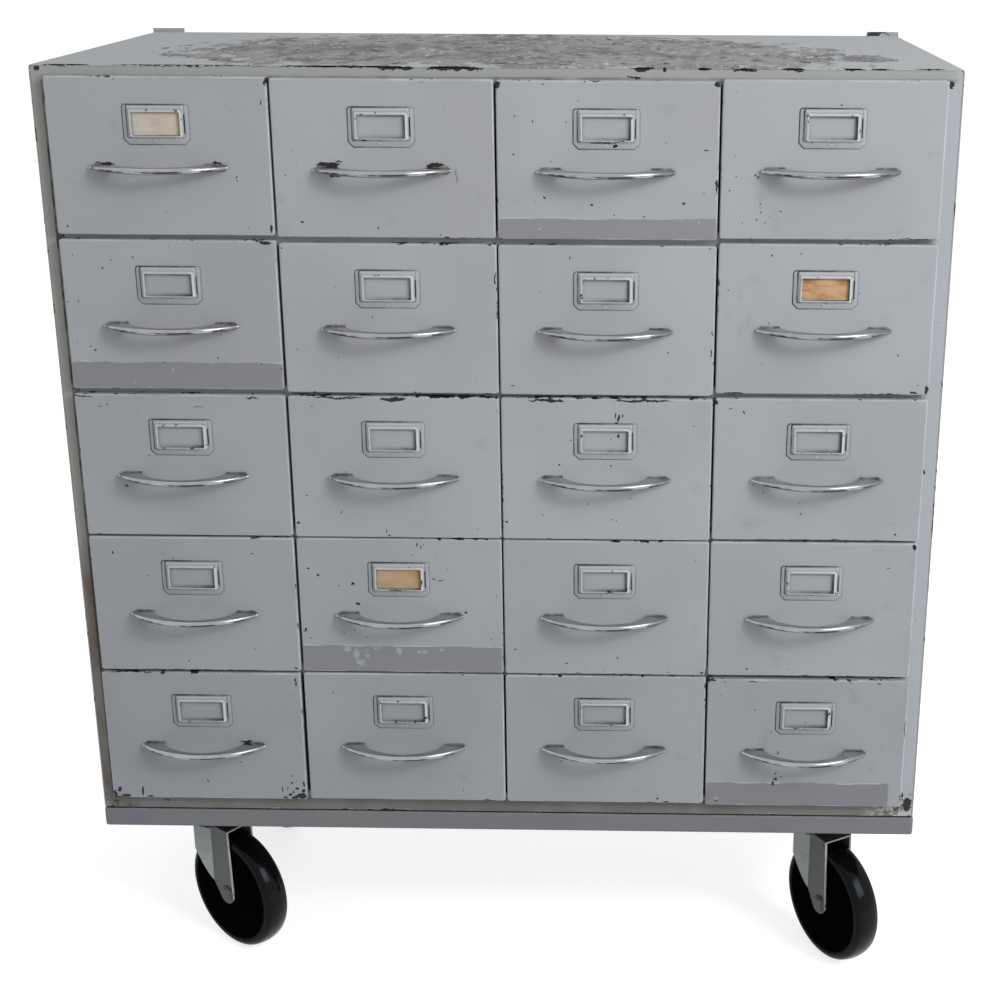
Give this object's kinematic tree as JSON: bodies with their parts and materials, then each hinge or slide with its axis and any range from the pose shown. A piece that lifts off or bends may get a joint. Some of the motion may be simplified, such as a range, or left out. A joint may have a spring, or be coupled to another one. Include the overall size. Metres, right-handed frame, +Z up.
{
  "type": "industrial drawer cabinet",
  "caption": "Low worn grey steel card-index cabinet with a grid of label-holder drawers, chrome bow handles and a base board on swivel casters.",
  "frame": {"origin": "on the floor, under the middle of the cabinet with its handles", "axes": "+Z up, -Y out of the drawer fronts, +X to the right when facing the fronts"},
  "size_m": [0.953, 0.521, 1.0773],
  "materials": {
    "cabinet_paint": "worn semi-gloss grey enamel with chips down to dark metal",
    "base_paint": "painted satin blue-grey board",
    "chrome": "old polished plating with small pits",
    "caster_steel": "satin light grey coating on pressed steel",
    "black_tyre": "glossy black"
  },
  "bodies": {
    "cabinet": {"wrapper": "cabinet_paint", "front_frame": "cabinet_paint", "bottom_panel": "cabinet_paint", "back_panel": "cabinet_paint", "partition_1": "cabinet_paint", "partition_2": "cabinet_paint", "partition_3": "cabinet_paint", "base_board": "base_paint", "caster_plate_front_left": "caster_steel", "caster_plate_front_right": "caster_steel", "caster_plate_rear_left": "caster_steel", "caster_plate_rear_right": "caster_steel"},
    "drawer_r1_c1": {"drawer_r1_c1": "cabinet_paint", "handle_r1_c1": "chrome"},
    "drawer_r1_c2": {"drawer_r1_c2": "cabinet_paint", "handle_r1_c2": "chrome"},
    "drawer_r1_c3": {"drawer_r1_c3": "cabinet_paint", "handle_r1_c3": "chrome"},
    "drawer_r1_c4": {"drawer_r1_c4": "cabinet_paint", "handle_r1_c4": "chrome"},
    "drawer_r2_c1": {"drawer_r2_c1": "cabinet_paint", "handle_r2_c1": "chrome"},
    "drawer_r2_c2": {"drawer_r2_c2": "cabinet_paint", "handle_r2_c2": "chrome"},
    "drawer_r2_c3": {"drawer_r2_c3": "cabinet_paint", "handle_r2_c3": "chrome"},
    "drawer_r2_c4": {"drawer_r2_c4": "cabinet_paint", "handle_r2_c4": "chrome"},
    "drawer_r3_c1": {"drawer_r3_c1": "cabinet_paint", "handle_r3_c1": "chrome"},
    "drawer_r3_c2": {"drawer_r3_c2": "cabinet_paint", "handle_r3_c2": "chrome"},
    "drawer_r3_c3": {"drawer_r3_c3": "cabinet_paint", "handle_r3_c3": "chrome"},
    "drawer_r3_c4": {"drawer_r3_c4": "cabinet_paint", "handle_r3_c4": "chrome"},
    "drawer_r4_c1": {"drawer_r4_c1": "cabinet_paint", "handle_r4_c1": "chrome"},
    "drawer_r4_c2": {"drawer_r4_c2": "cabinet_paint", "handle_r4_c2": "chrome"},
    "drawer_r4_c3": {"drawer_r4_c3": "cabinet_paint", "handle_r4_c3": "chrome"},
    "drawer_r4_c4": {"drawer_r4_c4": "cabinet_paint", "handle_r4_c4": "chrome"},
    "drawer_r5_c1": {"drawer_r5_c1": "cabinet_paint", "handle_r5_c1": "chrome"},
    "drawer_r5_c2": {"drawer_r5_c2": "cabinet_paint", "handle_r5_c2": "chrome"},
    "drawer_r5_c3": {"drawer_r5_c3": "cabinet_paint", "handle_r5_c3": "chrome"},
    "drawer_r5_c4": {"drawer_r5_c4": "cabinet_paint", "handle_r5_c4": "chrome"},
    "fork_front_left": {"caster_fork_front_left": "caster_steel"},
    "wheel_front_left": {"caster_wheel_front_left": "black_tyre"},
    "fork_front_right": {"caster_fork_front_right": "caster_steel"},
    "wheel_front_right": {"caster_wheel_front_right": "black_tyre"},
    "fork_rear_left": {"caster_fork_rear_left": "caster_steel"},
    "wheel_rear_left": {"caster_wheel_rear_left": "black_tyre"},
    "fork_rear_right": {"caster_fork_rear_right": "caster_steel"},
    "wheel_rear_right": {"caster_wheel_rear_right": "black_tyre"}
  },
  "joints": [
    {"name": "drawer_r1_c1_slide", "type": "slide", "parent": "cabinet", "child": "drawer_r1_c1", "axis": [0, -1, 0], "range_m": [0, 0.36]},
    {"name": "drawer_r1_c2_slide", "type": "slide", "parent": "cabinet", "child": "drawer_r1_c2", "axis": [0, -1, 0], "range_m": [0, 0.36]},
    {"name": "drawer_r1_c3_slide", "type": "slide", "parent": "cabinet", "child": "drawer_r1_c3", "axis": [0, -1, 0], "range_m": [0, 0.36]},
    {"name": "drawer_r1_c4_slide", "type": "slide", "parent": "cabinet", "child": "drawer_r1_c4", "axis": [0, -1, 0], "range_m": [0, 0.36]},
    {"name": "drawer_r2_c1_slide", "type": "slide", "parent": "cabinet", "child": "drawer_r2_c1", "axis": [0, -1, 0], "range_m": [0, 0.36]},
    {"name": "drawer_r2_c2_slide", "type": "slide", "parent": "cabinet", "child": "drawer_r2_c2", "axis": [0, -1, 0], "range_m": [0, 0.36]},
    {"name": "drawer_r2_c3_slide", "type": "slide", "parent": "cabinet", "child": "drawer_r2_c3", "axis": [0, -1, 0], "range_m": [0, 0.36]},
    {"name": "drawer_r2_c4_slide", "type": "slide", "parent": "cabinet", "child": "drawer_r2_c4", "axis": [0, -1, 0], "range_m": [0, 0.36]},
    {"name": "drawer_r3_c1_slide", "type": "slide", "parent": "cabinet", "child": "drawer_r3_c1", "axis": [0, -1, 0], "range_m": [0, 0.36]},
    {"name": "drawer_r3_c2_slide", "type": "slide", "parent": "cabinet", "child": "drawer_r3_c2", "axis": [0, -1, 0], "range_m": [0, 0.36]},
    {"name": "drawer_r3_c3_slide", "type": "slide", "parent": "cabinet", "child": "drawer_r3_c3", "axis": [0, -1, 0], "range_m": [0, 0.36]},
    {"name": "drawer_r3_c4_slide", "type": "slide", "parent": "cabinet", "child": "drawer_r3_c4", "axis": [0, -1, 0], "range_m": [0, 0.36]},
    {"name": "drawer_r4_c1_slide", "type": "slide", "parent": "cabinet", "child": "drawer_r4_c1", "axis": [0, -1, 0], "range_m": [0, 0.36]},
    {"name": "drawer_r4_c2_slide", "type": "slide", "parent": "cabinet", "child": "drawer_r4_c2", "axis": [0, -1, 0], "range_m": [0, 0.36]},
    {"name": "drawer_r4_c3_slide", "type": "slide", "parent": "cabinet", "child": "drawer_r4_c3", "axis": [0, -1, 0], "range_m": [0, 0.36]},
    {"name": "drawer_r4_c4_slide", "type": "slide", "parent": "cabinet", "child": "drawer_r4_c4", "axis": [0, -1, 0], "range_m": [0, 0.36]},
    {"name": "drawer_r5_c1_slide", "type": "slide", "parent": "cabinet", "child": "drawer_r5_c1", "axis": [0, -1, 0], "range_m": [0, 0.36]},
    {"name": "drawer_r5_c2_slide", "type": "slide", "parent": "cabinet", "child": "drawer_r5_c2", "axis": [0, -1, 0], "range_m": [0, 0.36]},
    {"name": "drawer_r5_c3_slide", "type": "slide", "parent": "cabinet", "child": "drawer_r5_c3", "axis": [0, -1, 0], "range_m": [0, 0.36]},
    {"name": "drawer_r5_c4_slide", "type": "slide", "parent": "cabinet", "child": "drawer_r5_c4", "axis": [0, -1, 0], "range_m": [0, 0.36]},
    {"name": "swivel_front_left", "type": "hinge", "parent": "cabinet", "child": "fork_front_left", "pos_m": [-0.372, -0.1245, 0.1615], "axis": [0, 0, 1], "continuous": true},
    {"name": "roll_front_left", "type": "hinge", "parent": "fork_front_left", "child": "wheel_front_left", "pos_m": [-0.3389, -0.15036, 0.075], "axis": [0.6157, 0.788, 0], "continuous": true},
    {"name": "swivel_front_right", "type": "hinge", "parent": "cabinet", "child": "fork_front_right", "pos_m": [0.372, -0.1245, 0.1615], "axis": [0, 0, 1], "continuous": true},
    {"name": "roll_front_right", "type": "hinge", "parent": "fork_front_right", "child": "wheel_front_right", "pos_m": [0.39363, -0.1605, 0.075], "axis": [0.8572, 0.515, 0], "continuous": true},
    {"name": "swivel_rear_left", "type": "hinge", "parent": "cabinet", "child": "fork_rear_left", "pos_m": [-0.372, 0.1705, 0.1615], "axis": [0, 0, 1], "continuous": true},
    {"name": "roll_rear_left", "type": "hinge", "parent": "fork_rear_left", "child": "wheel_rear_left", "pos_m": [-0.34614, 0.1374, 0.075], "axis": [0.788, 0.6157, 0], "continuous": true},
    {"name": "swivel_rear_right", "type": "hinge", "parent": "cabinet", "child": "fork_rear_right", "pos_m": [0.372, 0.1705, 0.1615], "axis": [0, 0, 1], "continuous": true},
    {"name": "roll_rear_right", "type": "hinge", "parent": "fork_rear_right", "child": "wheel_rear_right", "pos_m": [0.40118, 0.14029, 0.075], "axis": [0.7193, 0.6947, 0], "continuous": true}
  ]
}
